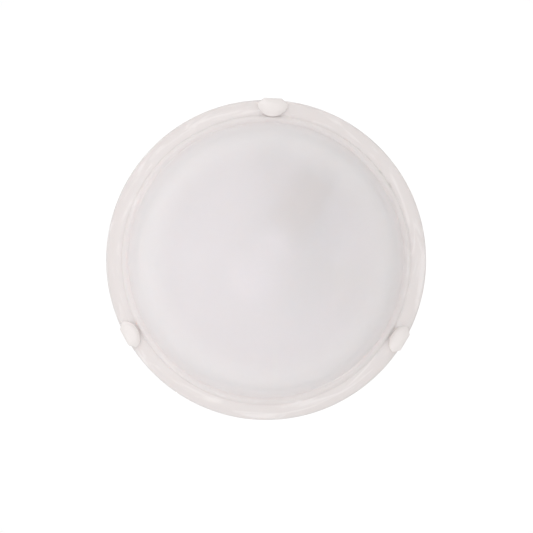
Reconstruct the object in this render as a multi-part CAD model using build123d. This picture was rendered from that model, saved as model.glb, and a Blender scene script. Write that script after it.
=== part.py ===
from build123d import *
import os
from math import sin, cos, tan, radians, sqrt, pi

# Flush mount ceiling light: a round glass bowl held under a steel ceiling pan
# by two fixed hooks and one sprung hook. Millimetres, +Z up. The origin is on
# the ceiling plane at the centre of the pan, so the light hangs below z = 0.

# ---------------------------------------------------------------- driving sizes
GLASS_R = 150.0          # rim radius of the glass
GLASS_T = 4.0            # wall of the glass
FLANGE_TOP_Z = -17.5     # upper face of the glass flange
STEP_R = 134.2           # where the flange steps down to the shelf
SHELF_R = 131.9          # outer end of the shelf
SHELF_DROP = 5.0         # drop from flange to shelf
WALL_DEG = 70.0          # steepness of the bowl's wall
DOME_R = 248.0           # mid-wall radius of the shallow bottom
DOME_DEG = 22.0          # half angle of the shallow bottom
KNUCKLE_R = 48.0         # mid-wall radius between bottom and wall
BOTTOM_Z = -90.5         # mid-wall height of the lowest point

PLATE_R = 135.0          # outside radius of the pan
PLATE_T = 1.0            # sheet of the pan
PLATE_Z = -15.0          # underside of the pan's disc
HEM_R = 128.5            # inner edge of the hem on the ceiling
SLOT_X = 70.0            # fixing slots at +X and -X
SLOT_L, SLOT_W = 16.0, 5.0
CABLE_XY = (26.0, 43.0)  # supply cable's hole
CABLE_HOLE_R = 8.0
GROMMET_R = 5.0          # free bore of the soft ring

SPRING_PHI = -87.6       # direction of the sprung hook, degrees from +X
FIXED_PHI = (151.4, 30.7)
STRIP_W, STRIP_T = 18.0, 1.2
CLIP_TRAVEL = 17.0
ROD_Z, ROD_R = -22.5, 1.5
TAB_X = 80.0             # inner tab of the sprung hook
EAR_X0, EAR_X1 = 115.8, 117.0

HOLDER_PHI = -57.0       # direction of the lampholder's axis
HOLDER_Z = -48.0         # height of the lampholder's axis
HOLDER_S0, HOLDER_S1 = 33.0, 89.0
CAVITY_R, CAVITY_S = 14.7, 62.0
BULB_R, BULB_S = 27.5, -18.5
THREAD_PITCH = 3.629     # screw thread of the lamp cap

WIRE_R, CORE_R = 1.3, 0.7
POLES_T = (41.0, 52.0, 63.0)
BLOCK_S0, BLOCK_S1 = 1.5, 18.5
BLOCK_Z = -24.5
EARTH_ST = (12.0, 84.0)

os.makedirs("parts", exist_ok=True)


# ---------------------------------------------------------------- helpers
def V(x, z):
    return Vector(x, 0, z)


def outline(pts, radii):
    """A closed face from corner points, each rounded by its own radius."""
    n = len(pts)
    enter, leave, mid = [], [], []
    for i in range(n):
        p0, p, p1 = pts[i - 1], pts[i], pts[(i + 1) % n]
        r = radii[i]
        a, b = (p0 - p).normalized(), (p1 - p).normalized()
        ang = radians(a.get_angle(b))
        if r < 1e-6 or abs(ang - pi) < 1e-6:
            enter.append(p)
            leave.append(p)
            mid.append(None)
            continue
        run = r / tan(ang / 2)
        bis = (a + b).normalized()
        enter.append(p + a * run)
        leave.append(p + b * run)
        mid.append(p + bis * (r / sin(ang / 2) - r))
    edges = []
    for i in range(n):
        if mid[i] is not None:
            edges.append(ThreePointArc(enter[i], mid[i], leave[i]))
        j = (i + 1) % n
        if (enter[j] - leave[i]).length > 1e-5:
            edges.append(Line(leave[i], enter[j]))
    return Face(Wire(edges))


def band(pts, t, radii, caps=(0.0, 0.0)):
    """A sheet of thickness t along a mid-line in the XZ plane."""
    pts = [V(*p) for p in pts]
    n = len(pts)

    def left(d):
        return Vector(-d.Z, 0, d.X)

    sides = {}
    for sign in (1, -1):
        out, rr = [], []
        for i in range(n):
            if i == 0 or i == n - 1:
                d = (pts[1] - pts[0]) if i == 0 else (pts[-1] - pts[-2])
                out.append(pts[i] + left(d.normalized()) * (sign * t / 2))
                rr.append(caps[0] if i == 0 else caps[1])
                continue
            d0 = (pts[i] - pts[i - 1]).normalized()
            d1 = (pts[i + 1] - pts[i]).normalized()
            n0, n1 = left(d0), left(d1)
            m = (n0 + n1).normalized()
            out.append(pts[i] + m * (sign * t / 2 / m.dot(n0)))
            turn = d0.X * d1.Z - d0.Z * d1.X
            rr.append(radii[i - 1] + (-1 if turn * sign > 0 else 1) * t / 2)
        sides[sign] = (out, rr)
    a, ra = sides[1]
    b, rb = sides[-1]
    return outline(a + b[::-1], ra + rb[::-1])


def turned(face, axis=Axis.Z):
    return revolve(face, axis=axis)


def strip(face, width):
    return extrude(face, amount=width / 2, dir=(0, 1, 0), both=True)


def block(x0, x1, y0, y1, z0, z1):
    return Pos((x0 + x1) / 2, (y0 + y1) / 2, (z0 + z1) / 2) * Box(x1 - x0, y1 - y0, z1 - z0)


def rod_z(x, y, z0, z1, r):
    return Pos(x, y, (z0 + z1) / 2) * Cylinder(r, z1 - z0)


def rod_x(y, z, x0, x1, r):
    return Pos((x0 + x1) / 2, y, z) * Rot(0, 90, 0) * Cylinder(r, x1 - x0)


def rod_y(x, z, y0, y1, r):
    return Pos(x, (y0 + y1) / 2, z) * Rot(90, 0, 0) * Cylinder(r, y1 - y0)


def turned_x(profile, radii, z=0.0):
    """Turned about a line along X at height z, from (s, radius) corners."""
    return Pos(0, 0, z) * revolve(outline([V(*p) for p in profile], radii), axis=Axis.X)


def at(phi, *parts):
    return [Rot(0, 0, phi) * p for p in parts]


def pan_screw(r, head_r, head_h, length):
    """Cross-recess screw, head below the origin plane, shank going up."""
    head = turned(outline([V(0, 0), V(head_r, 0), V(head_r, -head_h), V(0, -head_h)],
                          [0, 0, head_h * 0.7, 0]))
    cross = block(-head_r * 0.62, head_r * 0.62, -0.45, 0.45, -head_h - 1, -head_h * 0.45)
    cross += block(-0.45, 0.45, -head_r * 0.62, head_r * 0.62, -head_h - 1, -head_h * 0.45)
    shank = turned(outline([V(0, -0.01), V(r, -0.01), V(r, length), V(0, length)], [0, 0, r * 0.3, 0]))
    return (head - cross) + shank


def hex_nut(af, h, r):
    body = extrude(RegularPolygon(af / 2, 6, major_radius=False), amount=h)
    crown = turned(outline([V(0, 0), V(af / 2 * 1.04, 0), V(af / 2 * 1.155, h * 0.16),
                            V(af / 2 * 1.155, h * 0.84), V(af / 2 * 1.04, h), V(0, h)], [0] * 6))
    return (body & crown) - rod_z(0, 0, -1, h + 1, r)


def rivet(shank_top):
    """Blind rivet: dome below z = 0, tail above the sheet stack."""
    return turned(outline([V(0.9, 0), V(3.1, 0), V(3.1, -0.9), V(0.9, -1.1)], [0, 0, 0.7, 0])) + \
        turned(outline([V(0, -0.7), V(1.6, -0.7), V(1.6, shank_top), V(2.4, shank_top),
                        V(2.4, shank_top + 2.0), V(0, shank_top + 2.4)], [0, 0, 0, 0, 0.9, 0]))


def wire_path(points):
    """Straight runs joined by tangent arcs, as large as the runs allow."""
    pts = [Vector(*p) for p in points]
    radii = []
    for i in range(1, len(pts) - 1):
        a, b = pts[i] - pts[i - 1], pts[i + 1] - pts[i]
        turn = radians(a.get_angle(b))
        radii.append(0.45 * min(a.length, b.length) / tan(turn / 2))
    path = FilletPolyline(*pts, radius=radii)
    return path, radii


def lead(points, first, last, name):
    path, radii = wire_path(points)
    start = (Vector(*points[1]) - Vector(*points[0])).normalized()
    sleeve = sweep(Plane(origin=points[0], z_dir=start) * Circle(WIRE_R), path=path)
    end = (Vector(*points[-1]) - Vector(*points[-2])).normalized()
    # bare conductor ends, let 0.5 mm into the sleeve
    for p, d, run in ((Vector(*points[0]), start * -1, first), (Vector(*points[-1]), end, last)):
        core = Plane(origin=p - d * 0.5, z_dir=d) * extrude(Circle(CORE_R), amount=run + 0.5)
        sleeve = sleeve + core
    print(name, "length", round(path.length + first + last, 1), "arc radii", [round(r, 1) for r in radii],
          "volume over section", round(sleeve.volume / (pi * WIRE_R ** 2 * path.length), 3))
    return sleeve


made = {}


def keep(name, *shapes):
    solids = [s for shape in shapes for s in shape.solids()]
    body = Compound(solids) if len(solids) > 1 else solids[0]
    body.label = name
    made[name] = body
    export_step(body, f"parts/{name}.step")


# ---------------------------------------------------------------- glass bowl
k1 = tan(radians(DOME_DEG / 2)) * DOME_R
k2 = tan(radians((WALL_DEG - DOME_DEG) / 2)) * KNUCKLE_R
p1 = (k1, BOTTOM_Z)
p2 = (k1 + (k1 + k2) * cos(radians(DOME_DEG)), BOTTOM_Z + (k1 + k2) * sin(radians(DOME_DEG)))
flange_z = FLANGE_TOP_Z - GLASS_T / 2
shelf_z = flange_z - SHELF_DROP
p3 = (p2[0] + (shelf_z - p2[1]) / tan(radians(WALL_DEG)), shelf_z)
glass_line = [(0, BOTTOM_Z), p1, p2, p3, (SHELF_R, shelf_z), (STEP_R, flange_z), (GLASS_R, flange_z)]
glass = turned(band(glass_line, GLASS_T, [DOME_R, KNUCKLE_R, 2.6, 2.4, 2.4], caps=(0, 1.6)))
keep("glass_shade", glass)

# ---------------------------------------------------------------- ceiling pan
mid = PLATE_Z + PLATE_T / 2
pan_line = [(0, mid), (28, mid), (29.6, mid + 1.6), (34.4, mid + 1.6), (36, mid),
            (121.5, mid), (123.3, mid + 1.8), (128, mid + 1.8), (129.8, mid),
            (PLATE_R - PLATE_T / 2, mid), (PLATE_R - PLATE_T / 2, -PLATE_T / 2), (HEM_R, -PLATE_T / 2)]
pan = turned(band(pan_line, PLATE_T, [1.5, 1.5, 1.5, 1.5, 1.5, 1.5, 1.5, 1.5, 2.5, 1.0]))
z0, z1 = PLATE_Z - 1, PLATE_Z + PLATE_T + 1
for sx in (1, -1):
    pan -= Pos(sx * SLOT_X, 0, z0) * extrude(SlotOverall(SLOT_L, SLOT_W), amount=z1 - z0)
pan -= rod_z(*CABLE_XY, z0, z1, CABLE_HOLE_R)
for phi in FIXED_PHI:
    pan -= at(phi, rod_z(112, 0, z0, z1, 2.2))[0]
    pan -= at(phi, block(103.7, 105.7, -3.4, 3.4, z0, z1))[0]
for y in (15.2, -15.2):
    pan -= at(SPRING_PHI, rod_z(112, y, z0, z1, 1.62))[0]
for t in (8, -8):
    pan -= at(HOLDER_PHI, rod_z(101, t, z0, z1, 1.62))[0]
pan -= at(HOLDER_PHI, rod_z(*EARTH_ST, z0, z1, 2.1))[0]
pan -= at(HOLDER_PHI, rod_z(10, 46.5, z0, z1, 1.42))[0]
keep("base_plate", pan)

# soft ring in the supply cable's hole
g = turned(outline([V(GROMMET_R, -18.0), V(9.6, -18.0), V(10.4, -15.0), V(CABLE_HOLE_R, -15.0), V(CABLE_HOLE_R, -14.0),
                    V(10.4, -14.0), V(9.4, -11.4), V(GROMMET_R, -11.4)], [0.9, 1.0, 0, 0, 0, 0, 1.0, 0.9]))
keep("cable_grommet", Pos(*CABLE_XY, 0) * g)


# ---------------------------------------------------------------- hooks
def lobe(tip_x, out_x, half_w, top_z, crown_z):
    """Domed pad of a hook, seen from below: straight outer edge, oval inner end."""
    cx = out_x - 4.7
    a = cx - tip_x
    w = STRIP_W / 2
    curve = EllipticalCenterArc((cx, 0), a, half_w, start_angle=90, arc_size=180)
    edges = [curve, Line((cx, -half_w), (out_x - 0.6, -w)), Line((out_x - 0.6, -w), (out_x, -w + 0.6)),
             Line((out_x, -w + 0.6), (out_x, w - 0.6)),
             Line((out_x, w - 0.6), (out_x - 0.6, w)), Line((out_x - 0.6, w), (cx, half_w))]
    face = Face(Wire(edges))
    slab = Pos(0, 0, crown_z - 1) * extrude(face, amount=top_z - crown_z + 1, dir=(0, 0, 1))
    ball = Pos(cx - 5.0, 0, crown_z + 38.0) * Sphere(38.0)
    # the inner end slopes down as a lead-in, clear of the step in the glass
    lead_in = Face(Wire.make_polygon([V(tip_x + 3.8, top_z), V(tip_x - 2, top_z - 5.8 * 0.7), V(tip_x - 2, top_z + 2),
                                      V(tip_x + 3.8, top_z + 2)]))
    return (slab & ball) - strip(lead_in, 40)


def hook(arm_z, leg_x, inner_x, tip_x, half_w):
    """Arm, leg and domed pad, along +X."""
    m = arm_z - STRIP_T / 2
    x = leg_x + STRIP_T / 2
    body = strip(band([(inner_x, m), (x, m), (x, -24.0)], STRIP_T, [1.4]), STRIP_W)
    return body + lobe(tip_x, leg_x + STRIP_T, half_w, -22.6, -27.2)


fixed, fixed_liners, clip_screws, clip_nuts = [], [], [], []
for phi in FIXED_PHI:
    c = hook(PLATE_Z, 150.1, 104.0, 136.3, 14.0)
    c += block(104.1, 105.3, -3.0, 3.0, PLATE_Z - STRIP_T, -11.5)
    c -= rod_z(112, 0, -18, -14, 2.2)
    liner = block(140.2, 150.1, -8.4, 8.4, -22.6, -21.5)
    fixed += at(phi, c)
    fixed_liners += at(phi, liner)
    clip_screws += at(phi, Pos(112, 0, PLATE_Z - STRIP_T) * pan_screw(1.95, 4.0, 2.6, 7.2))
    clip_nuts += at(phi, Pos(112, 0, PLATE_Z + PLATE_T) * hex_nut(7.0, 3.2, 1.95))
keep("fixed_clips", *fixed)
keep("fixed_clip_liners", *fixed_liners)
keep("clip_screws", *clip_screws)
keep("clip_nuts", *clip_nuts)

# sprung hook: its inner tab slides on the rod
arm_z = PLATE_Z - 0.3
c = hook(arm_z, 150.3, TAB_X - 0.6, 134.4, 14.5)
tab = block(TAB_X - 0.6, TAB_X + 0.6, -7, 7, -27.5, arm_z)
tab = fillet(tab.edges().filter_by(Axis.X).group_by(Axis.Z)[0], 4.0)
c += tab
c -= rod_x(0, ROD_Z, TAB_X - 2, TAB_X + 2, ROD_R + 0.35)
keep("spring_clip", *at(SPRING_PHI, c))
liner = block(138.4, 150.3, -8.4, 8.4, -22.6, -21.8)
keep("spring_clip_liner", *at(SPRING_PHI, liner))

# bridge that guides the sprung hook, with the ear for the rod
f = band([(-19, -15.6), (-10.4, -15.6), (-10.4, -17.9), (10.4, -17.9), (10.4, -15.6), (19, -15.6)],
         1.2, [0.9, 0.9, 0.9, 0.9])
bridge = Rot(0, 0, 90) * extrude(f, amount=10.0, dir=(0, 1, 0))
bridge = Pos(117.0, 0, 0) * bridge
ear = block(EAR_X0, EAR_X1, -6, 6, -28.0, -17.6)
ear = fillet(ear.edges().filter_by(Axis.X).group_by(Axis.Z)[0], 4.0)
bridge += ear
for y in (15.2, -15.2):
    bridge -= rod_z(112, y, -17, -14, 1.62)
bridge -= rod_x(0, ROD_Z, EAR_X0 - 1, EAR_X1 + 1, ROD_R + 0.02)
keep("guide_bracket", *at(SPRING_PHI, bridge))
keep("guide_rivets", *at(SPRING_PHI, *[Pos(112, y, -16.2) * rivet(2.2) for y in (15.2, -15.2)]))
rod = turned_x([(75.4, 0), (75.4, 3.0), (77.0, 3.0), (77.0, ROD_R), (117.0, ROD_R), (117.0, 2.6),
                (118.3, 2.6), (118.3, 0)], [0, 0.6, 0, 0, 0, 0, 0.8, 0], ROD_Z)
keep("guide_rod", *at(SPRING_PHI, rod))

# compression spring between the tab and the ear
SPRING_X0, SPRING_X1, COIL_R, COIL_WIRE = TAB_X + 0.85, EAR_X0 - 0.1, 3.2, 0.45
turns = 8
height = SPRING_X1 - SPRING_X0 - 2 * COIL_WIRE
helix = Helix(pitch=height / turns, height=height, radius=COIL_R, center=(0, 0, 0), direction=(0, 0, 1))
coil = sweep(Plane(origin=helix @ 0, z_dir=helix % 0) * Circle(COIL_WIRE), path=helix, is_frenet=True)
coil = Pos(SPRING_X0 + COIL_WIRE, 0, ROD_Z) * Rot(0, 90, 0) * coil
keep("clip_spring", *at(SPRING_PHI, coil))

# ---------------------------------------------------------------- lampholder
hz = HOLDER_Z
H = turned_x([(HOLDER_S0, CAVITY_R), (HOLDER_S0, 19.6), (40.0, 19.6), (41.0, 18.4), (67.5, 18.4), (69.5, 19.5),
              (HOLDER_S1, 19.5), (HOLDER_S1, 0), (CAVITY_S, 0), (CAVITY_S, CAVITY_R)],
             [1.0, 1.2, 0.5, 0.5, 0.8, 0.8, 0.8, 0, 0, 0], hz)
for side in (1, -1):
    y = sorted((side * 6.5, side * 21))
    H -= block(74, 85, y[0], y[1], hz - 5, hz + 21)
    H -= rod_x(0, hz + side * 10.6, CAVITY_S - 1, HOLDER_S1 + 1, 1.6)
H -= block(CAVITY_S - 0.5, 74.5, 10.3, 11.7, hz - 1.8, hz + 1.8)
H -= block(CAVITY_S - 0.5, 74.5, -7.7, -6.5, hz - 2.7, hz + 2.7)
keep("lampholder_body", *at(HOLDER_PHI, H))

shell = turned_x([(36.0, 13.5), (36.0, 14.4), (CAVITY_S, 14.4), (CAVITY_S, 8.2), (CAVITY_S - 0.8, 8.2),
                  (CAVITY_S - 0.8, 13.5)], [0.4, 0.4, 0.9, 0, 0, 0.4], hz)
for side in (1, -1):
    shell -= rod_x(0, hz + side * 10.6, CAVITY_S - 2, CAVITY_S + 1, 1.6)
shell += block(CAVITY_S - 0.4, 75.0, 10.6, 11.4, hz - 1.5, hz + 1.5)
keep("screw_shell", *at(HOLDER_PHI, shell))

leaf = band([(75.0, -7.1), (61.7, -7.1), (61.7, -5.0), (58.15, -2.2), (58.15, 3.2), (59.8, 5.2)], 0.5,
            [0.6, 0.6, 0.8, 0.8])
leaf = extrude(leaf, amount=2.5, dir=(0, 1, 0), both=True)
leaf = Pos(0, 0, hz) * (Rot(-90, 0, 0) * leaf)
keep("centre_contact", *at(HOLDER_PHI, leaf))

terminals, terminal_screws = [], []
for side in (1, -1):
    y = sorted((side * 7.4, side * 14.6))
    b = block(75, 83, y[0], y[1], hz - 4, hz + 4)
    b -= rod_z(79, side * 11, hz - 2.5, hz + 5, 1.7)
    y = sorted((side * 11.0, side * 16.0))
    b -= rod_y(79, hz, y[0], y[1], 1.5)
    terminals.append(b)
    s = Rot(90, 0, 0) * pan_screw(1.45, 2.5, 1.9, 3.0) if side > 0 else Rot(-90, 0, 0) * pan_screw(1.45, 2.5, 1.9, 3.0)
    s = Pos(79, side * 15.3, hz) * s
    terminal_screws.append(s)
keep("holder_terminals", *at(HOLDER_PHI, *terminals))
keep("holder_terminal_screws", *at(HOLDER_PHI, *terminal_screws))

br = strip(band([(108, -15.75), (89.75, -15.75), (89.75, -66)], 1.5, [2.6]), 26)
keepin = block(80, 110, -13, 13, -53, -10) + rod_x(0, -53, 80, 110, 13)
br = br & keepin
for z in (hz + 10.6, hz - 10.6):
    br -= rod_x(0, z, 88, 92, 1.7)
br -= rod_x(0, hz, 88, 92, 5.5)
for t in (8, -8):
    br -= rod_z(101, t, -17.5, -14, 1.62)
keep("holder_bracket", *at(HOLDER_PHI, br))
keep("bracket_rivets", *at(HOLDER_PHI, *[Pos(101, t, -16.5) * rivet(2.5) for t in (8, -8)]))
hs = [Pos(CAVITY_S - 0.8, 0, hz + d) * Rot(0, 90, 0) * pan_screw(1.45, 2.6, 1.9, 32.6) for d in (10.6, -10.6)]
keep("holder_screws", *at(HOLDER_PHI, *hs))
hn = [Pos(90.5, 0, hz + d) * Rot(0, 90, 0) * hex_nut(5.5, 2.4, 1.45) for d in (10.6, -10.6)]
keep("holder_nuts", *at(HOLDER_PHI, *hn))

# ---------------------------------------------------------------- lamp
# the envelope is a sphere that flows through a hollow curve into a straight neck
NECK_R, FLARE_R = 12.2, 40.0


def envelope(inset):
    big, small, neck = BULB_R - inset, FLARE_R + inset, NECK_R - inset
    sc = BULB_S + sqrt((BULB_R + FLARE_R) ** 2 - (NECK_R + FLARE_R) ** 2)
    d = (Vector(sc, 0, NECK_R + FLARE_R) - Vector(BULB_S, 0, 0)).normalized()
    tip, join = Vector(BULB_S - big, 0, 0), Vector(BULB_S, 0, 0) + d * big
    a = (Vector(-1, 0, 0) + d).normalized()
    mid1 = Vector(BULB_S, 0, 0) + a * big
    start = Vector(sc, 0, neck)
    c2 = Vector(sc, 0, NECK_R + FLARE_R)
    m2 = c2 + ((start - c2).normalized() + (join - c2).normalized()).normalized() * small
    return tip, mid1, join, m2, start, Vector(38.0, 0, neck)


o, i = envelope(0.0), envelope(1.0)
edges = [ThreePointArc(o[0], o[1], o[2]), ThreePointArc(o[2], o[3], o[4]), Line(o[4], o[5]), Line(o[5], i[5]),
         Line(i[5], i[4]), ThreePointArc(i[4], i[3], i[2]), ThreePointArc(i[2], i[1], i[0]), Line(i[0], o[0])]
bulb = Pos(0, 0, hz) * revolve(Face(Wire(edges)), axis=Axis.X)
keep("lamp_bulb", *at(HOLDER_PHI, bulb))
cap = turned_x([(31.0, 12.4), (31.0, 13.1), (50.5, 13.1), (53.2, 8.6), (53.2, 8.0), (49.6, 12.4)],
               [0, 0.3, 1.5, 0, 0, 1.0], hz)
keep("lamp_cap", *at(HOLDER_PHI, cap))
ins = turned_x([(50.0, 0), (50.0, 7.0), (53.2, 8.0), (54.0, 8.0), (54.9, 5.2), (54.9, 0)], [0, 0, 0, 0.5, 0.5, 0], hz)
keep("lamp_insulator", *at(HOLDER_PHI, ins))
tipc = turned_x([(55.0, 0), (55.0, 4.6), (56.4, 4.6), (57.6, 2.6), (57.6, 0)], [0, 0.2, 0.6, 0.8, 0], hz)
keep("lamp_contact", *at(HOLDER_PHI, tipc))

# ---------------------------------------------------------------- terminal block
tb = block(BLOCK_S0, BLOCK_S1, 36.5, 67.5, -20.5, PLATE_Z)
tubes, screws = [], []
for t in POLES_T:
    pole = outline([V(t - 4.4, -15), V(t - 4.4, -26.5), V(t - 3.2, -31), V(t + 3.2, -31), V(t + 4.4, -26.5),
                    V(t + 4.4, -15)], [0, 1.0, 0.8, 0.8, 1.0, 0])
    pole = Rot(0, 0, 90) * extrude(pole, amount=BLOCK_S1 - BLOCK_S0, dir=(0, 1, 0))
    tb += Pos(BLOCK_S1, 0, 0) * pole
tb -= rod_z(10, 46.5, -32, -18, 3.0)
tb -= rod_z(10, 46.5, -19, -14, 1.5)
tb -= rod_z(10, 57.5, -32, -18, 3.0)
for t in POLES_T:
    tb -= rod_x(t, BLOCK_Z, BLOCK_S0 - 1, BLOCK_S1 + 1, 2.9)
    tube = rod_x(t, BLOCK_Z, 3, 17, 2.85) - rod_x(t, BLOCK_Z, 2, 18, 1.7)
    for s in (5.8, 14.2):
        tb -= rod_z(s, t, -32, BLOCK_Z, 2.3)
        tube -= rod_z(s, t, -32, BLOCK_Z, 1.4)
        screws.append(Pos(s, t, -28.6) * pan_screw(1.35, 2.0, 1.6, 3.2))
    tubes.append(tube)
keep("terminal_block", *at(HOLDER_PHI, tb))
keep("terminal_tubes", *at(HOLDER_PHI, *tubes))
keep("terminal_screws", *at(HOLDER_PHI, *screws))
keep("block_screw", *at(HOLDER_PHI, Pos(10, 46.5, -18) * pan_screw(1.4, 2.6, 1.9, 7.0)))

# ---------------------------------------------------------------- earth point
es, et = EARTH_ST
keep("earth_screw", *at(HOLDER_PHI, Pos(es, et, -16.6) * pan_screw(1.95, 4.0, 2.6, 7.4)))
keep("earth_nut", *at(HOLDER_PHI, Pos(es, et, -14.0) * hex_nut(7.0, 3.2, 1.95)))
w = rod_z(es, et, -16.6, -15.8, 4.3) - rod_z(es, et, -17, -15, 2.1)
for i in range(10):
    w -= Pos(es, et, 0) * Rot(0, 0, 36 * i) * block(3.6, 5, -0.45, 0.45, -17, -15)
keep("earth_washer", *at(HOLDER_PHI, w))
lug = rod_z(es, et, -15.8, PLATE_Z, 4.2) + block(es, es + 7.0, et - 2.2, et + 2.2, -15.8, PLATE_Z)
barrel = rod_x(et, -17.0, es + 5.6, es + 11.0, 2.0) - rod_x(et, -17.0, es + 5.0, es + 12.0, 1.4)
lug = lug + barrel
lug -= rod_z(es, et, -17, -14, 2.1)
lug -= rod_x(et, -17.0, es + 5.0, es + 12.0, 1.4)
keep("ring_lug", *at(HOLDER_PHI, lug))

# ---------------------------------------------------------------- inner wiring
neutral = lead([(79, 11, -44.5), (79, 11, -24), (66, 27, -23), (48, 37.5, -23), (36, 43.5, -23.5),
                (27.5, 51.6, -24.5), (18.6, 52, -24.5)], 1.8, 8.0, "neutral_lead")
live = lead([(79, -11, -44.5), (79, -11, -22.5), (66, 6, -21.5), (52, 24, -22), (38, 33.5, -23),
             (28, 40.6, -24.5), (18.6, 41, -24.5)], 1.8, 8.0, "live_lead")
earth = lead([(18.6, 63, -24.5), (28, 63.3, -24.5), (36, 69.5, -23.2), (37.5, 78, -20.2), (32, 83.8, -17.6),
              (es + 11.1, 84, -17.0)], 8.0, 4.0, "earth_lead")
keep("neutral_lead", *at(HOLDER_PHI, neutral))
keep("live_lead", *at(HOLDER_PHI, live))
keep("earth_lead", *at(HOLDER_PHI, earth))

lo = [min(getattr(b.bounding_box().min, a) for b in made.values()) for a in "XYZ"]
hi = [max(getattr(b.bounding_box().max, a) for b in made.values()) for a in "XYZ"]
print("nodes", len(made), "box", [round(x, 2) for x in lo], [round(x, 2) for x in hi])
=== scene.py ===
import math
import bpy
import bmesh
from mathutils import Vector, Matrix, noise


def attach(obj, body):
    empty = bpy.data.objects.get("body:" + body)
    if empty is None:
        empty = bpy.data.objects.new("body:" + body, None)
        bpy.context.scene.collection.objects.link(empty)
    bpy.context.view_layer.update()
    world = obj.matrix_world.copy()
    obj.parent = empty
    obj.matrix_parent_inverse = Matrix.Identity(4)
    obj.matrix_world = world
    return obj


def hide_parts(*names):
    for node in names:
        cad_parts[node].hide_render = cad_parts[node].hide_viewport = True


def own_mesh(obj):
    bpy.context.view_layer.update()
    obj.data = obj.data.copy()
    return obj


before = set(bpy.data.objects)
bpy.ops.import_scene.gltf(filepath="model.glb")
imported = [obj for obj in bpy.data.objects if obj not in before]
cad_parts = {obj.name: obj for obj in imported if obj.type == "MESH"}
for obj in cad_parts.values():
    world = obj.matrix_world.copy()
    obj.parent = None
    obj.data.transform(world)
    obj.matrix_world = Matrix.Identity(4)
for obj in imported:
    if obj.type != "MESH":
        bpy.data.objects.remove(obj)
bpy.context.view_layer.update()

# Flush mount ceiling light, hanging below the ceiling plane z = 0. Metres.
# Seen from straight below with -Y up in the picture, +X is to the right.
MM = 0.001
SPRING_PHI = math.radians(-87.6)
FIXED_PHI = (math.radians(151.4), math.radians(30.7))
HOLDER_PHI = math.radians(-57.0)
HOLDER_Z = -48.0
scene = bpy.context.scene


# ------------------------------------------------------------------ mesh helpers
def add_mesh(name, verts, faces, body, replaces=(), smooth=True, scale=MM):
    me = bpy.data.meshes.new(name)
    me.from_pydata([tuple(c * scale for c in v) for v in verts], [], faces)
    me.validate()
    bm = bmesh.new()
    bm.from_mesh(me)
    bmesh.ops.recalc_face_normals(bm, faces=bm.faces)
    bm.to_mesh(me)
    bm.free()
    for p in me.polygons:
        p.use_smooth = smooth
    ob = bpy.data.objects.new(name, me)
    scene.collection.objects.link(ob)
    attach(ob, body)
    if replaces:
        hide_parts(*replaces)
    return ob


def turned_mesh(profile, segs, shift=None, closed=False):
    """Vertices and faces of a profile of (radius, z) turned about Z. Points at radius 0 become one pole."""
    verts, rows, faces = [], [], []
    for r, z in profile:
        if r < 1e-6:
            rows.append([len(verts)])
            verts.append((0.0, 0.0, z))
            continue
        row = []
        for k in range(segs):
            a = 2 * math.pi * k / segs
            dr, dz = shift(r, z, a) if shift else (0.0, 0.0)
            row.append(len(verts))
            verts.append(((r + dr) * math.cos(a), (r + dr) * math.sin(a), z + dz))
        rows.append(row)
    pairs = list(zip(rows, rows[1:]))
    if closed:
        pairs.append((rows[-1], rows[0]))
    for a, b in pairs:
        for k in range(segs):
            k2 = (k + 1) % segs
            if len(a) == 1 and len(b) == 1:
                continue
            if len(a) == 1:
                faces.append((a[0], b[k], b[k2]))
            elif len(b) == 1:
                faces.append((a[k], b[0], a[k2]))
            else:
                faces.append((a[k], b[k], b[k2], a[k2]))
    return verts, faces


def placed(verts, phi, z=0.0, along_x=False):
    """Moves local vertices: a turned piece's axis from Z to X if asked, then round by phi, then up by z."""
    out = []
    c, s = math.cos(phi), math.sin(phi)
    for x, y, w in verts:
        if along_x:
            x, y, w = w, y, -x
        out.append((x * c - y * s, x * s + y * c, w + z))
    return out


def fillet_path(pts, radii, step=2.0):
    """Points along a polyline whose corners are rounded by tangent arcs, each with its normal to the left."""
    pts = [Vector(p) for p in pts]
    out = []

    def put(p, t):
        if not out or (p - out[-1][0]).length > 1e-6:
            out.append((p.copy(), Vector((-t.y, t.x))))

    last = pts[0]
    for i in range(1, len(pts) - 1):
        p, r = pts[i], radii[i - 1]
        t0, t1 = (p - pts[i - 1]).normalized(), (pts[i + 1] - p).normalized()
        turn = math.atan2(t0.x * t1.y - t0.y * t1.x, t0.dot(t1))
        run = r * math.tan(abs(turn) / 2)
        enter = p - t0 * run
        n = max(1, round((enter - last).length / step))
        for k in range(n + 1):
            put(last.lerp(enter, k / n), t0)
        centre = enter + Vector((-t0.y, t0.x)) * (r if turn > 0 else -r)
        m = max(3, round(abs(turn) * max(r, 1.5) / (step * 0.6)))
        for k in range(1, m + 1):
            a = turn * k / m
            rel = enter - centre
            q = centre + Vector((rel.x * math.cos(a) - rel.y * math.sin(a), rel.x * math.sin(a) + rel.y * math.cos(a)))
            t = Vector((t0.x * math.cos(a) - t0.y * math.sin(a), t0.x * math.sin(a) + t0.y * math.cos(a)))
            put(q, t)
        last = p + t1 * run
    t = (pts[-1] - pts[-2]).normalized()
    n = max(1, round((pts[-1] - last).length / step))
    for k in range(n + 1):
        put(last.lerp(pts[-1], k / n), t)
    return out


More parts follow.
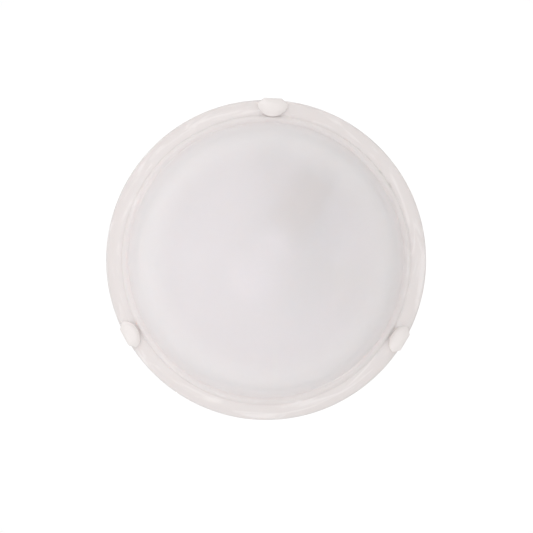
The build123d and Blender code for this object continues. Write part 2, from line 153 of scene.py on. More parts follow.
# ------------------------------------------------------------------ material helpers
class Nodes:
    def __init__(self, name):
        self.mat = bpy.data.materials.new(name)
        self.mat.use_nodes = True
        self.nt = self.mat.node_tree
        self.bsdf = self.nt.nodes["Principled BSDF"]
        self.out = self.nt.nodes["Material Output"]
        self.coord = self.new("ShaderNodeTexCoord").outputs["Object"]

    def new(self, kind, **props):
        n = self.nt.nodes.new(kind)
        for k, v in props.items():
            setattr(n, k, v)
        return n

    def link(self, a, b):
        self.nt.links.new(a, b)

    def put(self, socket, value):
        s = self.bsdf.inputs[socket]
        if hasattr(value, "is_linked"):
            self.link(value, s)
        else:
            s.default_value = value

    def math(self, op, a, b=None, c=None, clamp=False):
        n = self.new("ShaderNodeMath", operation=op, use_clamp=clamp)
        for i, v in enumerate((a, b, c)):
            if v is None:
                continue
            if hasattr(v, "is_linked"):
                self.link(v, n.inputs[i])
            else:
                n.inputs[i].default_value = v
        return n.outputs[0]

    def noise(self, scale, detail=4.0, rough=0.5, distortion=0.0, vector=None):
        n = self.new("ShaderNodeTexNoise")
        n.inputs["Scale"].default_value = scale
        n.inputs["Detail"].default_value = detail
        n.inputs["Roughness"].default_value = rough
        n.inputs["Distortion"].default_value = distortion
        self.link(vector if vector is not None else self.coord, n.inputs["Vector"])
        return n.outputs["Fac"]

    def ramp(self, fac, stops, mode="LINEAR"):
        n = self.new("ShaderNodeValToRGB")
        n.color_ramp.interpolation = mode
        el = n.color_ramp.elements
        while len(el) < len(stops):
            el.new(0.5)
        for e, (p, c) in zip(el, stops):
            e.position = p
            e.color = (c, c, c, 1) if isinstance(c, (int, float)) else (*c, 1)
        self.link(fac, n.inputs["Fac"])
        return n.outputs["Color"]

    def mix(self, fac, a, b, mode="MIX"):
        n = self.new("ShaderNodeMix", data_type="RGBA", blend_type=mode)
        for s, v in ((n.inputs[0], fac), (n.inputs[6], a), (n.inputs[7], b)):
            if hasattr(v, "is_linked"):
                self.link(v, s)
            elif isinstance(v, (int, float)):
                s.default_value = v
            else:
                s.default_value = (*v, 1)
        return n.outputs[2]

    def range(self, v, a0, a1, b0, b1, smooth=False):
        n = self.new("ShaderNodeMapRange")
        if smooth:
            n.interpolation_type = "SMOOTHSTEP"
        self.link(v, n.inputs[0])
        for i, x in enumerate((a0, a1, b0, b1)):
            n.inputs[i + 1].default_value = x
        return n.outputs[0]

    def bump(self, height, strength, distance):
        n = self.new("ShaderNodeBump")
        n.inputs["Strength"].default_value = strength
        n.inputs["Distance"].default_value = distance
        self.link(height, n.inputs["Height"])
        return n.outputs["Normal"]

    def xyz(self):
        n = self.new("ShaderNodeSeparateXYZ")
        self.link(self.coord, n.inputs[0])
        return n.outputs

    def vector(self, x, y, z):
        n = self.new("ShaderNodeCombineXYZ")
        for i, v in enumerate((x, y, z)):
            if hasattr(v, "is_linked"):
                self.link(v, n.inputs[i])
            else:
                n.inputs[i].default_value = v
        return n.outputs[0]


def metal(name, color, rough, spread=0.12, tint=None, grain=1400.0, metallic=1.0):
    m = Nodes(name)
    big = m.noise(90.0, 5, 0.6)
    fine = m.noise(grain, 2, 0.5)
    dark = tuple(c * 0.72 for c in color)
    m.put("Base Color", m.mix(m.range(big, 0.3, 0.75, 0.0, 1.0), dark if tint is None else tint, color))
    m.put("Metallic", metallic)
    m.put("Roughness", m.math("ADD", m.range(big, 0.3, 0.7, rough - spread / 2, rough + spread / 2),
                              m.range(fine, 0.35, 0.65, -0.03, 0.05), clamp=True))
    m.put("Normal", m.bump(fine, 0.12, 0.00004))
    return m.mat


def plastic(name, color, rough, scale=700.0, bump=0.1, dark=0.85, coat=0.0):
    m = Nodes(name)
    big = m.noise(60.0, 4, 0.55)
    fine = m.noise(scale, 3, 0.55)
    m.put("Base Color", m.mix(m.range(big, 0.3, 0.75, 0.0, 1.0), tuple(c * dark for c in color), color))
    m.put("Roughness", m.range(fine, 0.3, 0.7, rough - 0.05, rough + 0.07))
    m.put("Normal", m.bump(fine, bump, 0.00006))
    if coat:
        m.put("Coat Weight", coat)
        m.bsdf.inputs["Coat Roughness"].default_value = 0.08
    return m.mat


def enamel(name, color=(0.93, 0.92, 0.905), rough=0.2):
    """Stove enamel on steel: orange peel, thin at the edges, and painted shade darkening the concave corners."""
    m = Nodes(name)
    peel = m.noise(420.0, 3, 0.5)
    cloud = m.noise(35.0, 4, 0.6)
    col = m.mix(m.range(cloud, 0.35, 0.7, 0.0, 1.0), tuple(c * 0.965 for c in color), color)
    geo = m.new("ShaderNodeNewGeometry").outputs["Pointiness"]
    edge = m.range(geo, 0.53, 0.62, 0.0, 0.35)
    # painted shade: concave corners and creases darkened to a warm grey
    corner_shade = m.range(geo, 0.47, 0.40, 0.0, 0.35)
    col = m.mix(edge, col, (0.86, 0.85, 0.84))
    col = m.mix(corner_shade, col, (0.70, 0.66, 0.61))
    m.put("Base Color", col)
    m.put("Roughness", m.range(cloud, 0.3, 0.7, rough - 0.04, rough + 0.08))
    m.put("Coat Weight", 0.35)
    m.bsdf.inputs["Coat Roughness"].default_value = 0.07
    m.put("Normal", m.bump(peel, 0.10, 0.00012))
    return m.mat


def shade_glass(name, clear, rough):
    """Satin alabaster glass: milky, with faint swirls that are denser and whiter, stretched round the rim."""
    m = Nodes(name)
    x, y, z = m.xyz()
    r = m.math("SQRT", m.math("ADD", m.math("MULTIPLY", x, x), m.math("MULTIPLY", y, y)))
    ang = m.math("ARCTAN2", y, x)
    # unit direction round the rim, so the swirls have no seam
    cx, sy = m.math("COSINE", ang), m.math("SINE", ang)
    # stretched coordinates: fast across the radius, slow along the rim, sheared into spirals
    twist = m.math("ADD", ang, m.math("MULTIPLY", r, 9.0))
    tx, ty = m.math("COSINE", twist), m.math("SINE", twist)
    swirl_v = m.vector(m.math("MULTIPLY", tx, 1.5), m.math("MULTIPLY", ty, 1.5), m.math("MULTIPLY", r, 60.0))
    streaks = m.noise(2.2, 5, 0.55, 0.8, swirl_v)
    streak = m.range(streaks, 0.52, 0.70, 0.0, 1.0, smooth=True)
    veins = m.noise(16.0, 6, 0.6, 1.6)
    cloud = m.noise(7.0, 4, 0.5, 0.5)
    rim = m.range(r, 0.105, 0.140, 0.25, 1.0, smooth=True)
    mask = m.math("MULTIPLY", streak, rim)
    body = m.mix(m.range(cloud, 0.3, 0.7, 0.0, 1.0), (0.970, 0.947, 0.996), (0.980, 0.957, 0.999))
    # thicker, warmer glass towards the rim
    body = m.mix(m.range(r, 0.070, 0.124, 0.0, 1.0, smooth=True), body, (0.966, 0.932, 0.938))
    # painted shade: the base turns darker over the band at the foot of the wall and darker again out over the flange to
    # the rim, along with the glass's own warm tint
    if clear < 0.9:
        body = m.mix(m.range(r, 0.121, 0.133, 0.0, 1.0, smooth=True), body, (0.838, 0.818, 0.808))
        body = m.mix(m.range(r, 0.138, 0.149, 0.0, 1.0, smooth=True), body, (0.810, 0.790, 0.778))
    col = m.mix(m.math("MULTIPLY", mask, 0.42), body, (0.998, 0.985, 0.978))
    # single strokes of denser glass round the lower edge: start and end angle and radius, half width, strength
    for a0, a1, r0, r1, half, force in ((38.0, 61.0, 0.1358, 0.1424, 0.0010, 0.45), (44.0, 76.0, 0.1314, 0.1284, 0.0009, 0.45),
                                        (66.0, 92.0, 0.1440, 0.1454, 0.0009, 0.35), (106.0, 116.0, 0.1412, 0.1432, 0.0028, 0.40),
                                        (112.0, 128.0, 0.1400, 0.1412, 0.0012, 0.25)):
        t = m.range(ang, math.radians(a0), math.radians(a1), 0.0, 1.0)
        mid = m.math("ADD", m.math("MULTIPLY", t, r1 - r0), r0)
        off = m.math("ABSOLUTE", m.math("SUBTRACT", m.math("ADD", r, m.math("MULTIPLY", veins, half * 1.6)), mid))
        ends = m.math("MULTIPLY", m.range(t, 0.0, 0.3, 0.0, 1.0, smooth=True), m.range(t, 0.6, 1.0, 1.0, 0.0, smooth=True))
        line = m.math("MULTIPLY", m.range(off, half * 0.2, half * 1.3, force, 0.0, smooth=True), ends)
        col = m.mix(line, col, (0.998, 0.982, 0.966))
    # a pale streak that runs up the bowl from its lower edge
    side = m.range(m.math("ABSOLUTE", m.math("SUBTRACT", x, 0.0084)), 0.0010, 0.0046, 1.0, 0.0, smooth=True)
    reach = m.math("MULTIPLY", m.range(y, 0.076, 0.090, 0.0, 1.0, smooth=True), m.range(y, 0.108, 0.124, 1.0, 0.0, smooth=True))
    col = m.mix(m.math("MULTIPLY", m.math("MULTIPLY", side, reach), 0.35), col, (0.998, 0.990, 0.975))
    # two small dark marks of painted shade in the step
    for turn, long_r, deep in ((-31.0, 0.0036, 0.75), (-37.5, 0.0028, 0.6)):
        along = m.math("MULTIPLY", m.math("SUBTRACT", ang, math.radians(turn)), 0.1349 / long_r)
        across = m.math("MULTIPLY", m.math("SUBTRACT", r, 0.1350), 1 / 0.0016)
        far = m.math("SQRT", m.math("ADD", m.math("MULTIPLY", along, along), m.math("MULTIPLY", across, across)))
        col = m.mix(m.range(far, 0.3, 1.3, deep, 0.0, smooth=True), col, (0.70, 0.69, 0.675))
    col = m.mix(m.range(veins, 0.60, 0.74, 0.0, 0.22, smooth=True), col, (0.998, 0.988, 0.982))
    m.put("Base Color", col)
    m.put("Roughness", m.range(cloud, 0.3, 0.7, rough - 0.04, rough + 0.04))
    m.bsdf.inputs["IOR"].default_value = 1.2
    if clear < 0.9:
        # the opal layer gathers thicker towards the rim
        m.put("Transmission Weight", m.range(r, 0.086, 0.120, clear, clear * 0.42, smooth=True))
    else:
        m.bsdf.inputs["Transmission Weight"].default_value = clear
    if clear < 0.9:
        m.bsdf.inputs["Subsurface Weight"].default_value = 1.0
        m.bsdf.inputs["Subsurface Radius"].default_value = (0.0040, 0.0038, 0.0037)
        m.bsdf.inputs["Subsurface Scale"].default_value = 1.0
    m.put("Normal", m.bump(m.noise(260.0, 3, 0.5), 0.05, 0.0001))
    return m.mat


mat_glass = shade_glass("alabaster_glass", 0.31, 0.92)
mat_glass_in = shade_glass("alabaster_glass_inside", 1.0, 0.6)
mat_enamel = enamel("white_enamel")
mat_hook = enamel("hook_enamel", (0.855, 0.832, 0.812), 0.08)
mat_zinc = metal("zinc_plate", (0.86, 0.865, 0.86), 0.34, tint=(0.76, 0.77, 0.75))
mat_zinc_dull = metal("zinc_bracket", (0.50, 0.50, 0.49), 0.40, tint=(0.42, 0.42, 0.40))
mat_wire = metal("spring_wire", (0.62, 0.62, 0.63), 0.25)
mat_brass = metal("brass", (0.82, 0.63, 0.30), 0.27, tint=(0.66, 0.47, 0.20))
mat_bronze = metal("bronze", (0.80, 0.50, 0.34), 0.28, tint=(0.62, 0.36, 0.22))
mat_alu = metal("lamp_aluminium", (0.84, 0.84, 0.85), 0.32)
mat_porcelain = plastic("porcelain", (0.37, 0.25, 0.185), 0.22, scale=300.0, bump=0.05, dark=0.9, coat=0.6)
mat_rubber = plastic("rubber", (0.045, 0.045, 0.048), 0.55, scale=900.0, bump=0.25)
mat_sleeve = plastic("soft_sleeve", (0.86, 0.86, 0.84), 0.40)
mat_nylon = plastic("nylon", (0.82, 0.80, 0.74), 0.42)
mat_black = plastic("black_vitrite", (0.02, 0.02, 0.024), 0.12, scale=200.0, bump=0.04, coat=0.5)
mat_brown = plastic("brown_sleeve", (0.17, 0.075, 0.035), 0.38)
mat_blue = plastic("blue_sleeve", (0.03, 0.12, 0.42), 0.38)


def lamp_glass(name):
    m = Nodes(name)
    n = m.noise(40.0, 4, 0.6)
    m.put("Base Color", m.mix(m.range(n, 0.3, 0.7, 0.0, 1.0), (0.90, 0.885, 0.865), (0.95, 0.94, 0.925)))
    m.put("Roughness", m.range(n, 0.3, 0.7, 0.26, 0.36))
    m.put("Normal", m.bump(m.noise(500.0, 2, 0.5), 0.04, 0.00005))
    return m.mat


def earth_sleeve(name):
    m = Nodes(name)
    x, y, z = m.xyz()
    w = m.new("ShaderNodeTexWave", wave_type="BANDS", bands_direction="DIAGONAL")
    w.inputs["Scale"].default_value = 60.0
    w.inputs["Distortion"].default_value = 0.3
    m.link(m.coord, w.inputs["Vector"])
    stripe = m.ramp(w.outputs["Fac"], [(0.40, 0.0), (0.48, 1.0)])
    m.put("Base Color", m.mix(stripe, (0.08, 0.30, 0.06), (0.80, 0.68, 0.05)))
    m.put("Roughness", m.range(m.noise(800.0, 3, 0.5), 0.3, 0.7, 0.34, 0.44))
    return m.mat


mat_lamp = lamp_glass("lamp_glass")
mat_earth = earth_sleeve("earth_sleeve")

finish = {
    "base_plate": mat_enamel, "guide_bracket": mat_zinc, "guide_rod": mat_zinc, "guide_rivets": mat_zinc,
    "bracket_rivets": mat_zinc, "clip_screws": mat_zinc, "clip_nuts": mat_zinc, "holder_bracket": mat_zinc_dull,
    "holder_screws": mat_zinc, "holder_nuts": mat_zinc, "holder_terminal_screws": mat_zinc, "terminal_screws": mat_zinc,
    "block_screw": mat_zinc, "earth_screw": mat_brass, "earth_washer": mat_zinc, "earth_nut": mat_brass,
    "ring_lug": mat_zinc, "clip_spring": mat_wire, "lampholder_body": mat_porcelain, "screw_shell": mat_brass,
    "centre_contact": mat_bronze, "holder_terminals": mat_brass, "terminal_tubes": mat_brass,
    "fixed_clip_liners": mat_sleeve, "spring_clip_liner": mat_sleeve, "cable_grommet": mat_rubber,
    "lamp_bulb": mat_lamp, "lamp_cap": mat_alu, "lamp_insulator": mat_black, "lamp_contact": mat_alu,
    "terminal_block": mat_nylon, "live_lead": mat_brown, "neutral_lead": mat_blue, "earth_lead": mat_earth,
    "glass_shade": mat_glass, "spring_clip": mat_hook, "fixed_clips": mat_hook,
}
for node, mat in finish.items():
    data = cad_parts[node].data
    for k in range(len(data.materials)):
        data.materials[k] = mat
    if not data.materials:
        data.materials.append(mat)

# ------------------------------------------------------------------ the glass bowl
GLASS_T = 4.0
k1 = math.tan(math.radians(11.0)) * 248.0
k2 = math.tan(math.radians(24.0)) * 48.0
p1 = (k1, -90.5)
p2 = (k1 + (k1 + k2) * math.cos(math.radians(22.0)), -90.5 + (k1 + k2) * math.sin(math.radians(22.0)))
p3 = (p2[0] + (-24.5 - p2[1]) / math.tan(math.radians(70.0)), -24.5)
line = [(0, -90.5), p1, p2, p3, (131.9, -24.5), (134.2, -19.5), (150.0, -19.5)]
path = fillet_path(line, [248.0, 48.0, 2.6, 2.4, 2.4], 0.5)


def eased(path, reach):
    """Evens out the jumps of curvature where the arcs meet, as slumped glass does, over about reach mm."""
    run, along = 0.0, [0.0]
    for a, b in zip(path, path[1:]):
        run += (b[0] - a[0]).length
        along.append(run)
    out, s, i = [], 0.0, 0
    while s < run:
        while along[i + 1] < s:
            i += 1
        f = (s - along[i]) / (along[i + 1] - along[i])
        out.append(path[i][0].lerp(path[i + 1][0], f))
        s += 0.25
    out.append(path[-1][0])
    corner_s = 0.25 * next(k for k, p in enumerate(out) if p.x > 125.0 and p.y > -27.5)
    smooth = []
    for k, p in enumerate(out):
        h = min(reach, max(0.7, 0.9 * (corner_s - 0.25 * k))) if 0.25 * k < corner_s + 2 else 0.7
        n = int(min(h / 0.25, k, len(out) - 1 - k))
        w = [math.cos(math.pi / 2 * j / (n + 1)) ** 2 for j in range(-n, n + 1)]
        q = Vector((0.0, 0.0))
        for j in range(-n, n + 1):
            q += out[k + j] * w[j + n]
        smooth.append(q / sum(w))
    keep, last = [0], 0
    for k in range(1, len(smooth) - 1):
        step = 8 if smooth[k].x < 116 else 2
        if k - last >= step:
            keep.append(k)
            last = k
    keep.append(len(smooth) - 1)
    res = []
    for k in keep:
        a, b = smooth[max(0, k - 1)], smooth[min(len(smooth) - 1, k + 1)]
        t = (b - a).normalized()
        res.append((smooth[k], Vector((-t.y, t.x))))
    return res


path = eased(path, 14.0)
outer = [(p.x + n.x * -GLASS_T / 2, p.y + n.y * -GLASS_T / 2) for p, n in path]
inner = [(p.x + n.x * GLASS_T / 2, p.y + n.y * GLASS_T / 2) for p, n in path]
# fire-polished rim
R_RIM = 1.7
outer = [q for q in outer if q[0] < 150.0 - R_RIM - 0.01]
inner = [q for q in inner if q[0] < 150.0 - R_RIM - 0.01]
rim = []
for k in range(7):
    a = math.radians(-90 + 15 * k)
    rim.append((150.0 - R_RIM + R_RIM * math.cos(a), -21.5 + R_RIM + R_RIM * math.sin(a)))
for k in range(7):
    a = math.radians(15 * k)
    rim.append((150.0 - R_RIM + R_RIM * math.cos(a), -17.5 - R_RIM + R_RIM * math.sin(a)))
profile = outer + rim + inner[::-1]
profile[0] = (0.0, profile[0][1])
profile[-1] = (0.0, profile[-1][1])


def glass_shift(r, z, a):
    """A pressed sheet is never dead true: the rim breathes a little and the flange is gently wavy."""
    v = Vector((math.cos(a) * 1.3, math.sin(a) * 1.3, 4.7))
    edge = max(0.0, (r - 120.0) / 30.0)
    dr = -0.16 * edge * (0.5 + 0.5 * noise.noise(v))
    w = Vector((r * math.cos(a) * 0.02, r * math.sin(a) * 0.02, 1.3))
    dz = 0.10 * noise.noise(w) * (0.4 + 0.6 * min(1.0, edge)) - 0.02 if z < -30 or r > 137 else 0.0
    if r > 137:
        dz = min(max(dz, -0.12), 0.0) if z < -19.5 else min(dz, 0.0)
    if z < -90:
        dz = max(dz, 0.0)
    return dr, dz


verts, faces = turned_mesh(profile, 320, glass_shift)
glass = add_mesh("glass_shade_shell", verts, faces, "root", ["glass_shade"])
glass.data.materials.append(mat_glass)
glass.data.materials.append(mat_glass_in)
# the opal layer is on the outside, and the inner face is only satin
first_inner = len(outer) + len(rim)
for k, p in enumerate(glass.data.polygons):
    p.material_index = 1 if k // 320 >= first_inner else 0

# ------------------------------------------------------------------ hooks
def pad_outline(tip, half_w, out):
    """Points round the pad, oval towards the bowl, with soft chamfers up to the straight outer edge."""
    cx = out - 4.7
    corner = [(out, 8.2), (out - 0.7, 9.0), (cx, half_w)]
    pts = [(out, -8.2 + 16.4 * k / 10) for k in range(10)]
    for (x0, y0), (x1, y1) in zip(corner, corner[1:]):
        n = max(2, round(math.hypot(x1 - x0, y1 - y0) / 1.2))
        pts += [(x0 + (x1 - x0) * k / n, y0 + (y1 - y0) * k / n) for k in range(n)]
    for k in range(41):
        a = math.pi / 2 + math.pi * k / 40
        pts.append((cx + (cx - tip) * math.cos(a), half_w * math.sin(a)))
    for (x0, y0), (x1, y1) in zip(corner[::-1], corner[-2::-1]):
        n = max(2, round(math.hypot(x1 - x0, y1 - y0) / 1.2))
        pts += [(x0 + (x1 - x0) * k / n, -(y0 + (y1 - y0) * k / n)) for k in range(1, n)]
    pts = [Vector(p) for p in pts]
    for _ in range(3):
        pts = [pts[k] * 0.5 + (pts[k - 1] + pts[(k + 1) % len(pts)]) * 0.25 for k in range(len(pts))]
    return pts


def pad_solid(tip, half_w, out, lead_in):
    """Domed pill: thin rounded edge, full crown, with a flat side towards the glass."""
    cx = out - 4.7
    edge = pad_outline(tip, half_w, out)
    n = len(edge)
    inward = []
    for k in range(n):
        t = (edge[(k + 1) % n] - edge[k - 1]).normalized()
        inward.append(Vector((-t.y, t.x)))
    D, H_EDGE = 4.6, 1.0

    def top(x):
        return -22.6 - (0.7 * max(0.0, tip + 3.8 - x) if lead_in else 0.25 * max(0.0, tip + 2.0 - x))

    def low(x, y, d):
        crown = -27.15 + ((x - cx + 5) ** 2 + y * y) / 76
        q = math.sqrt(max(0.0, 1 - (1 - min(1.0, d / D)) ** 2))
        a = top(x) - H_EDGE
        return a + (crown - a) * q

    rings = []
    for k in range(9):
        d = D * (1 - math.cos(math.pi / 2 * k / 8))
        rings.append([(edge[i] + inward[i] * d, d) for i in range(n)])
    centre = Vector((cx - 3.0, 0.0))
    for f in (0.75, 0.5, 0.25):
        rings.append([(centre + (p - centre) * f, D) for p, _ in rings[8]])
    verts, faces = [], []
    for ring in rings:
        verts += [(p.x, p.y, low(p.x, p.y, d)) for p, d in ring]
    verts.append((centre.x, centre.y, low(centre.x, centre.y, D)))
    c0 = len(verts) - 1
    for r in range(len(rings) - 1):
        for i in range(n):
            j = (i + 1) % n
            faces.append((r * n + i, r * n + j, (r + 1) * n + j, (r + 1) * n + i))
    last = (len(rings) - 1) * n
    for i in range(n):
        faces.append((last + i, last + (i + 1) % n, c0))
    # side towards the glass
    t0 = len(verts)
    for ring in (rings[0], rings[4], rings[8], rings[10]):
        verts += [(p.x, p.y, top(p.x)) for p, d in ring]
    verts.append((centre.x, centre.y, top(centre.x)))
    c1 = len(verts) - 1
    for i in range(n):
        j = (i + 1) % n
        faces.append((i, t0 + i, t0 + j, j))
        for r in range(3):
            faces.append((t0 + r * n + i, t0 + (r + 1) * n + i, t0 + (r + 1) * n + j, t0 + r * n + j))
        faces.append((t0 + 3 * n + i, c1, t0 + 3 * n + j))
    return verts, faces


def strip_solid(pts, radii, width, t, rnd=0.45):
    """A strip of steel bent along a path in the XZ plane, with eased edges."""
    path = fillet_path(pts, radii, 1.5)
    w = width / 2
    sec = []
    for sx, sy in ((1, 1), (-1, 1), (-1, -1), (1, -1)):
        start = {(1, 1): 0, (-1, 1): 90, (-1, -1): 180, (1, -1): 270}[(sx, sy)]
        for k in range(4):
            a = math.radians(start + 30 * k)
            sec.append((sx * (w - rnd) + rnd * math.cos(a), sy * (t / 2 - rnd) + rnd * math.sin(a)))
    verts, faces = [], []
    m = len(sec)
    for p, nrm in path:
        for y, h in sec:
            verts.append((p.x + nrm.x * h, y, p.y + nrm.y * h))
    for i in range(len(path) - 1):
        for k in range(m):
            k2 = (k + 1) % m
            faces.append((i * m + k, i * m + k2, (i + 1) * m + k2, (i + 1) * m + k))
    faces.append(tuple(range(m)))
    faces.append(tuple(range((len(path) - 1) * m, len(path) * m)))
    return verts, faces


def brick(x0, x1, y0, y1, z0, z1, r=0.0):
    """A plate standing across X whose lower corners are rounded by r."""
    pts = [(y0, z1), (y1, z1)]
    if r:
        pts += [(y1 - r + r * math.cos(math.radians(a)), z0 + r - r * math.sin(math.radians(a))) for a in range(0, 91, 15)]
        pts += [(y0 + r - r * math.sin(math.radians(a)), z0 + r - r * math.cos(math.radians(a))) for a in range(0, 91, 15)]
    else:
        pts += [(y1, z0), (y0, z0)]
    m = len(pts)
    verts = [(x0, y, z) for y, z in pts] + [(x1, y, z) for y, z in pts]
    faces = [tuple(range(m)), tuple(range(m, 2 * m))]
    faces += [(k, (k + 1) % m, m + (k + 1) % m, m + k) for k in range(m)]
    return verts, faces


def drill(place, axis, r, length):
    """A cutter for a round hole. Millimetres, in the hook's own frame."""
    verts = [(r * math.cos(2 * math.pi * k / 40), r * math.sin(2 * math.pi * k / 40), z) for z in (-length / 2, length / 2)
             for k in range(40)]
    faces = [tuple(range(40)), tuple(range(40, 80))] + [(k, (k + 1) % 40, 40 + (k + 1) % 40, 40 + k) for k in range(40)]
    if axis == "X":
        verts = [(z, x, y) for x, y, z in verts]
    return [(x + place[0], y + place[1], z + place[2]) for x, y, z in verts], faces


def bare_object(name, verts, faces):
    me = bpy.data.meshes.new(name)
    me.from_pydata([tuple(c * MM for c in v) for v in verts], [], faces)
    bm = bmesh.new()
    bm.from_mesh(me)
    bmesh.ops.recalc_face_normals(bm, faces=bm.faces)
    bm.to_mesh(me)
    bm.free()
    ob = bpy.data.objects.new(name, me)
    scene.collection.objects.link(ob)
    return ob


def applied(ob):
    """The object's mesh with its modifiers worked in."""
    me = bpy.data.meshes.new_from_object(ob.evaluated_get(bpy.context.evaluated_depsgraph_get()))
    old = ob.data
    ob.modifiers.clear()
    ob.data = me
    bpy.data.meshes.remove(old)


def melted(name, solids, holes, body, node, phi, voxel=0.36, ease=4):
    """One skin round overlapping solids, eased as by a coat of enamel, then drilled."""
    verts, faces = [], []
    for v, f in solids:
        n = len(verts)
        verts += v
        faces += [tuple(i + n for i in face) for face in f]
    ob = bare_object(name, verts, faces)
    mod = ob.modifiers.new("skin", "REMESH")
    mod.mode = "VOXEL"
    mod.voxel_size = voxel * MM
    applied(ob)
    bm = bmesh.new()
    bm.from_mesh(ob.data)
    for _ in range(ease):
        bmesh.ops.smooth_vert(bm, verts=bm.verts, factor=0.5, use_axis_x=True, use_axis_y=True, use_axis_z=True)
    bm.to_mesh(ob.data)
    bm.free()
    for k, (place, axis, r, length) in enumerate(holes):
        cutter = bare_object(name + "_drill", *drill(place, axis, r, length))
        mod = ob.modifiers.new("hole", "BOOLEAN")
        mod.operation = "DIFFERENCE"
        mod.solver = "EXACT"
        mod.object = cutter
        applied(ob)
        bpy.data.objects.remove(cutter)
    ob.data.transform(Matrix.Rotation(phi, 4, "Z"))
    ob.data.shade_smooth()
    ob.data.set_sharp_from_angle(angle=math.radians(50))
    ob.data.materials.clear()
    ob.data.materials.append(mat_hook)
    # the key light is large and close to the glass, so such a thin rim of steel throws no shadow worth the name
    ob.visible_shadow = False
    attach(ob, body)
    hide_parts(node)
    return ob


for k, phi in enumerate(FIXED_PHI):
    m = -15.0 - 0.6
    melted("fixed_hook_%d" % (k + 1), [
        strip_solid([(104.2, m), (150.7, m), (150.7, -24.4)], [1.4], 18.0, 1.2),
        pad_solid(136.3, 14.0, 151.3, False),
        brick(104.1, 105.3, -3.0, 3.0, -16.1, -11.5)],
        [((112.0, 0.0, -15.6), "Z", 2.2, 4.0)], "root", "fixed_clips", phi)
m = -15.3 - 0.6
melted("sprung_hook", [
    strip_solid([(79.6, m), (150.9, m), (150.9, -24.4)], [1.4], 18.0, 1.2),
    pad_solid(134.1, 14.5, 151.5, True),
    brick(79.4, 80.6, -7.0, 7.0, -27.5, -15.4, 4.0)],
    [((80.0, 0.0, -22.5), "X", 1.85, 4.0)], "spring_clip", "spring_clip", SPRING_PHI)

# ------------------------------------------------------------------ spring
SPRING_X0, SPRING_X1, ROD_Z, COIL_R, COIL_WIRE = 80.85, 115.7, -22.5, 3.2, 0.45


def coil(turns, closed, gap):
    """Wire of a compression spring: closed end turns that lie side by side, even ones between, along X."""
    per = 40
    n = turns * per
    pitch = []
    for k in range(n):
        t = (k + 0.5) / per
        e = min(1.0, max(0.0, (t - closed) / 0.35)) * min(1.0, max(0.0, (turns - closed - t) / 0.35))
        pitch.append(gap + (1.0 - gap) * e * e * (3 - 2 * e))
    # gap is the closed turns' share, and the open ones take the rest of the length
    length = SPRING_X1 - SPRING_X0 - 2 * COIL_WIRE
    shut = 2 * COIL_WIRE * 1.06
    w = [(p - gap) / (1.0 - gap) for p in pitch]
    spare = (length - shut * turns) / (sum(w) / per)
    pts, x = [], SPRING_X0 + COIL_WIRE
    for k in range(n + 1):
        a = 2 * math.pi * k / per
        pts.append(Vector((x, COIL_R * math.cos(a), ROD_Z + COIL_R * math.sin(a))))
        if k < n:
            x += (shut + spare * w[k]) / per
    verts, faces, seg = [], [], 12
    for k, p in enumerate(pts):
        t = (pts[min(k + 1, n)] - pts[max(k - 1, 0)]).normalized()
        out = Vector((0.0, p.y, p.z - ROD_Z)).normalized()
        up = t.cross(out).normalized()
        out = up.cross(t).normalized()
        for j in range(seg):
            b = 2 * math.pi * j / seg
            q = p + out * (COIL_WIRE * math.cos(b)) + up * (COIL_WIRE * math.sin(b))
            verts.append((q.x, q.y, q.z))
    for k in range(n):
        for j in range(seg):
            j2 = (j + 1) % seg
            faces.append((k * seg + j, k * seg + j2, (k + 1) * seg + j2, (k + 1) * seg + j))
    faces.append(tuple(range(seg)))
    faces.append(tuple(range(n * seg, (n + 1) * seg)))
    return verts, faces


verts, faces = coil(8, 1.0, 0.2)
verts = [(min(max(x, SPRING_X0), SPRING_X1), y, z) for x, y, z in verts]
spring = add_mesh("hook_spring", placed(verts, SPRING_PHI), faces, "root", ["clip_spring"])
spring.data.materials.append(mat_wire)
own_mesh(spring)

# ------------------------------------------------------------------ rolled lamp thread
THREAD = 3.629


def thread(depth, inward, lo, hi):
    """Pushes a turned tube in and out along a right-hand helix between lo and hi, fading at both ends."""
    def shift(r, z, a):
        f = min(1.0, max(0.0, (z - lo) / 1.8)) * min(1.0, max(0.0, (hi - z) / 1.8))
        c = 0.5 + 0.5 * math.cos(2 * math.pi * z / THREAD - a)
        c = c * c * (3 - 2 * c)
        return (-depth * (1 - c) if inward else depth * c) * f, 0.0
    return shift


def rows(r, z0, z1, step=0.4):
    n = max(1, round(abs(z1 - z0) / step))
    return [(r, z0 + (z1 - z0) * k / n) for k in range(n + 1)]


# lamp cap: a skirt, the thread, and a cone down to the black glass
prof = rows(13.1, 31.3, 50.2) + [(13.0, 50.7), (12.6, 51.2), (8.9, 53.0), (8.5, 53.15), (8.15, 53.0)]
prof += [(12.3, 50.9), (12.7, 50.4)] + rows(12.8, 50.0, 31.2) + [(12.95, 31.02), (13.05, 31.1)]
verts, faces = turned_mesh(prof, 96, thread(0.58, True, 33.5, 50.0), closed=True)
cap = add_mesh("threaded_lamp_cap", placed(verts, HOLDER_PHI, HOLDER_Z, True), faces, "lamp", ["lamp_cap"])
cap.data.materials.append(mat_alu)

# ------------------------------------------------------------------ camera, world, floor and light
CAM_Z = -2.40
cam_data = bpy.data.cameras.new("camera")
cam_data.lens = 36.0 * (abs(CAM_Z) - 0.0195) / (533 * 0.937 * MM)
cam_data.sensor_width = 36.0
cam_data.clip_start, cam_data.clip_end = 0.01, 80.0
cam = bpy.data.objects.new("camera", cam_data)
cam.location = (0.00033, 0.0061, CAM_Z)
cam.rotation_euler = (math.pi, 0, 0)
scene.collection.objects.link(cam)
scene.camera = cam
scene.view_settings.view_transform = "Standard"
scene.cycles.max_bounces = 40
scene.cycles.diffuse_bounces = 24
scene.cycles.glossy_bounces = 12
scene.cycles.transmission_bounces = 32

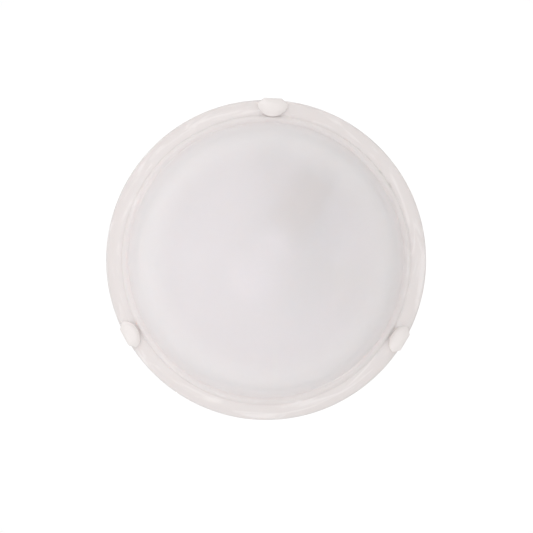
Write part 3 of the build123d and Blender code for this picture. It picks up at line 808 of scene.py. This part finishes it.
world = bpy.data.worlds.new("studio")
scene.world = world
world.use_nodes = True
wn = world.node_tree
bg = wn.nodes["Background"]
tc = wn.nodes.new("ShaderNodeTexCoord")
sep = wn.nodes.new("ShaderNodeSeparateXYZ")
wn.links.new(tc.outputs["Generated"], sep.inputs[0])
ramp = wn.nodes.new("ShaderNodeValToRGB")
mr = wn.nodes.new("ShaderNodeMapRange")
mr.inputs[1].default_value, mr.inputs[2].default_value = -1.0, 1.0
wn.links.new(sep.outputs[2], mr.inputs[0])
wn.links.new(mr.outputs[0], ramp.inputs["Fac"])
el = ramp.color_ramp.elements
el[0].position, el[0].color = 0.50, (0.92, 0.88, 0.875, 1)
el[1].position, el[1].color = 0.9935, (1.05, 1.05, 1.05, 1)
for p, c in ((0.60, 0.43), (0.9865, 0.34)):
    e = el.new(p)
    e.color = (c, c * 0.94, c * 0.92, 1)
wn.links.new(ramp.outputs["Color"], bg.inputs["Color"])
bg.inputs["Strength"].default_value = 1.0

# pale floor far below
me = bpy.data.meshes.new("floor")
bm = bmesh.new()
bmesh.ops.create_circle(bm, cap_ends=True, segments=96, radius=30.0)
bmesh.ops.translate(bm, verts=bm.verts, vec=(0, 0, -3.0))
bm.to_mesh(me)
bm.free()
floor = bpy.data.objects.new("floor", me)
scene.collection.objects.link(floor)
fm = Nodes("floor_paint")
fm.put("Base Color", fm.mix(fm.noise(1.5, 3, 0.5), (0.86, 0.86, 0.865), (0.90, 0.90, 0.90)))
fm.put("Roughness", 0.8)
fm.bsdf.inputs["Emission Color"].default_value = (1, 1, 1, 1)
fm.bsdf.inputs["Emission Strength"].default_value = 0.44
me.materials.append(fm.mat)


def soft_light(name, place, size, power, color=(1, 1, 1)):
    d = bpy.data.lights.new(name, "AREA")
    d.shape = "DISK"
    d.size = size
    d.energy = power
    d.color = color
    o = bpy.data.objects.new(name, d)
    o.location = place
    o.rotation_mode = "QUATERNION"
    o.rotation_quaternion = Vector(place).to_track_quat("Z", "Y")
    o.visible_camera = False
    scene.collection.objects.link(o)
    return o


# two keys, upper left and lower left in the picture
soft_light("key", (-1.1, 1.15, -1.25), 1.5, 3.8, (1.0, 0.962, 0.994))
soft_light("key_upper", (-1.1, -1.2, -1.25), 1.5, 4.0, (1.0, 0.962, 0.994))
# broad fill from straight below
soft_light("fill", (-0.2, 0.0, -2.7), 3.0, 11.0, (1.0, 0.962, 0.994))
